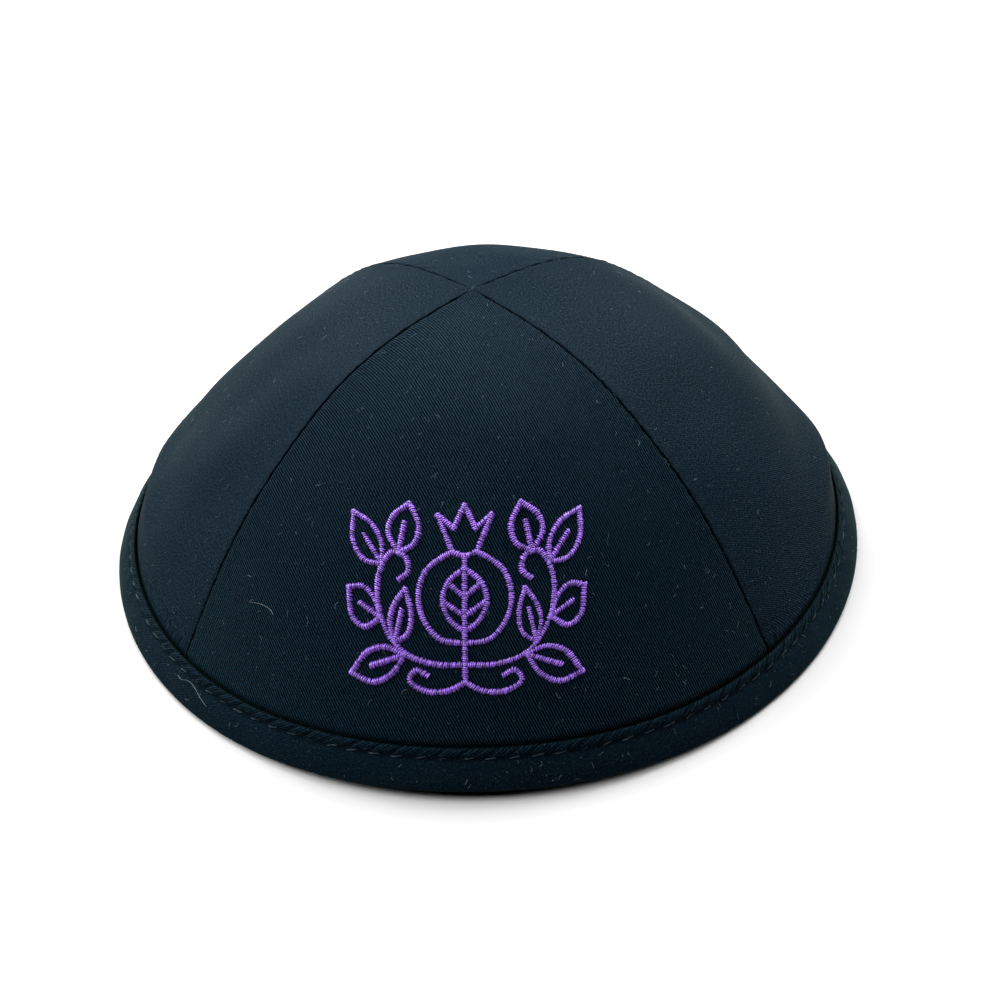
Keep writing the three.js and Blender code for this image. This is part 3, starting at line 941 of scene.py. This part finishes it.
# Lint: short curved fibres that cling to the cloth, and a few longer ones in set places.
lint = {
    "crown": 1250,
    "rim": 200,
    "radius": 0.000033,
    "shortest": 0.00025,
    "longest": 0.0016,
    "headingSpread": 0.7,  # how far the fibres turn away from straight up
    "bend": 1.3,
    "lift": (0.0001, 0.00012),  # of a fibre's ends, and how much more in its middle
    # the band's outer face: how far up, and how far out
    "bandFace": ((0.0016, 0.0044, 0.0065, 0.0078), (0.00214, 0.00186, 0.00125, 0.0017)),
    "strandRadius": 1.3,  # of a short fibre's
    "strandSpot": 0.083,  # how far from the cap's axis they lie, roughly
    # azimuths, and millimetres up the band or the crown
    "strandsOnBand": (
        ((-46.4, 5.0), (-45.5, 4.8), (-44.5, 5.4), (-43.6, 5.7), (-42.3, 5.4), (-40.9, 4.7))
        + ((-38.9, 3.8),),
        ((-61.0, 1.8), (-60.3, 3.1), (-59.6, 2.8), (-59.2, 3.6)),
    ),
    "strandsOnCrown": (
        ((-41.0, 22.8), (-40.4, 23.5), (-39.6, 23.5), (-39.0, 24.3)),
        ((-38.1, 18.7), (-36.5, 19.3), (-34.9, 19.5), (-33.5, 19.2), (-32.7, 18.5)),
    ),
}


def onCrown(azimuth, climbed, lift):
    return place(azimuth, crownSide(azimuth, levelAt(climbed), -lift))


def onBand(azimuth, along, lift):
    out = np.interp(along, *lint["bandFace"])
    return place(azimuth, bandSide(azimuth, along, out + lift))


def layLint(name, onCloth, count, seed, reach):
    dice = np.random.default_rng(seed)
    length, bend, high = dice.uniform(0, 1, (3, count, 1))
    heading = math.pi / 2 + dice.normal(0, lint["headingSpread"], (count, 1))
    length = lint["shortest"] + (lint["longest"] - lint["shortest"]) * length**2.2
    azimuth, share = dice.uniform(-180, 180, (count, 1)), dice.uniform(0, 1, (count, 1))
    if onCloth is onCrown:  # fewer towards the tip, as there is less cloth
        share = 1 - np.sqrt(share)
    climbed = reach[0] + (reach[1] - reach[0]) * share
    radius = crownMeridian(azimuth, levelAt(climbed))[0]
    tones = dice.uniform(0, 1, count) ** 2.5

    def shape(t, turn):
        angle = heading + t * (bend - 0.5) * lint["bend"]
        sideways = lint["radius"] * np.cos(turn)
        u = length / 2 * t * np.cos(angle) + sideways * np.sin(angle)
        v = length / 2 * t * np.sin(angle) - sideways * np.cos(angle)
        ends, middle = lint["lift"]
        lift = ends + middle * (1 - t**2) * high + lint["radius"] * np.sin(turn)
        return onCloth(azimuth + np.degrees(u / radius), climbed + v, lift), tones

    addPiece(name, layThreads(name, 6, 4, shape), lintFibre)


def layStrands(name, onCloth, strands, lift):
    radius = lint["radius"] * lint["strandRadius"]

    def shape(t, turn):
        spots = []
        for strand in strands:
            line = smoothLine([np.array(point) for point in strand])
            share = np.interp((t + 1) / 2, np.linspace(0, 1, len(line)), np.arange(len(line)))
            azimuth, along = (np.interp(share, np.arange(len(line)), line[:, k]) for k in (0, 1))
            azimuth = azimuth + np.degrees(radius * np.cos(turn) / lint["strandSpot"])
            along = along / 1000 + radius * np.cos(turn)
            spots.append(onCloth(azimuth, along, lift + lint["radius"] * np.sin(turn)))
        return np.array(spots), np.full(len(strands), 0.9)

    addPiece(name, layThreads(name, 25, 5, shape), lintFibre)


layLint("lint_crown", onCrown, lint["crown"], 21, (0.003, 0.104))
layLint("lint_band", onBand, lint["rim"], 22, (0.0012, 0.0062))
layStrands("strands_band", onBand, lint["strandsOnBand"], 0.0002)
layStrands("strands_crown", onCrown, lint["strandsOnCrown"], 0.00015)
print("lint laid")

# Floor, backdrop, lights and camera
studio = {
    "floorColour": (0.42, 0.42, 0.42, 1),
    "floorRadius": 0.45,
    "backdrop": (1, 1, 1, 1),
    # place, diameter and watts; all of them point at the cap
    "lights": {
        "overhead": ((0, 0, 1.1), 1.2, 12.5),
        "backLeft": ((-0.6, 0.8, 0.75), 0.8, 30),
        "backRight": ((0.6, 0.8, 0.75), 0.8, 31),
        "left": ((-1, 0, 0.7), 0.8, 18),
        "right": ((1, 0, 0.7), 0.8, 3.4),
    },
    "lightsAim": (0, 0, 0.03),
    "cameraSpot": (0.02137, -0.2596, 0.20706),
    "cameraTilt": 38.01,
    "cameraSwing": 4.02,
    "cameraRoll": -3.33,
    "lens": 50.84,
}


def makeFloor():
    bm = bmesh.new()
    bmesh.ops.create_circle(bm, cap_ends=True, segments=96, radius=studio["floorRadius"])
    mesh = bpy.data.meshes.new("floor")
    bm.to_mesh(mesh)
    bm.free()
    floor = bpy.data.objects.new("floor", mesh)
    scene.collection.objects.link(floor)
    paint = Looks("FloorPaint")
    paint.finish(Base_Color=studio["floorColour"], Roughness=0.9, Specular_IOR_Level=0)
    mesh.materials.append(paint.material)


def addBackdrop():  # pale beyond the floor's edge, and no light from it on the cap
    scene.world = bpy.data.worlds.new("studio")
    scene.world.use_nodes = True
    tree = scene.world.node_tree
    background = tree.nodes["Background"]
    background.inputs["Color"].default_value = studio["backdrop"]
    seen = tree.nodes.new("ShaderNodeLightPath").outputs["Is Camera Ray"]
    tree.links.new(seen, background.inputs["Strength"])


def addLight(name, spot, size, power):
    light = bpy.data.lights.new(name, "AREA")
    light.shape, light.size, light.energy = "DISK", size, power
    lamp = bpy.data.objects.new(name, light)
    scene.collection.objects.link(lamp)
    lamp.location = spot
    towards = Vector(studio["lightsAim"]) - Vector(spot)
    lamp.rotation_euler = towards.to_track_quat("-Z", "Y").to_euler()


def addCamera():
    camera = bpy.data.objects.new("camera", bpy.data.cameras.new("camera"))
    scene.collection.objects.link(camera)
    swing = Matrix.Rotation(math.radians(studio["cameraSwing"]), 4, "Z")
    tilt = Matrix.Rotation(math.radians(90 - studio["cameraTilt"]), 4, "X")
    roll = Matrix.Rotation(math.radians(studio["cameraRoll"]), 4, "Z")
    camera.matrix_world = Matrix.Translation(studio["cameraSpot"]) @ swing @ tilt @ roll
    camera.data.lens, camera.data.sensor_width, camera.data.clip_start = studio["lens"], 36, 0.01
    scene.camera = camera


makeFloor()
for name, light in studio["lights"].items():
    addLight(name, *light)
addBackdrop()
scene.view_settings.view_transform = "Standard"
addCamera()
print("stage set")
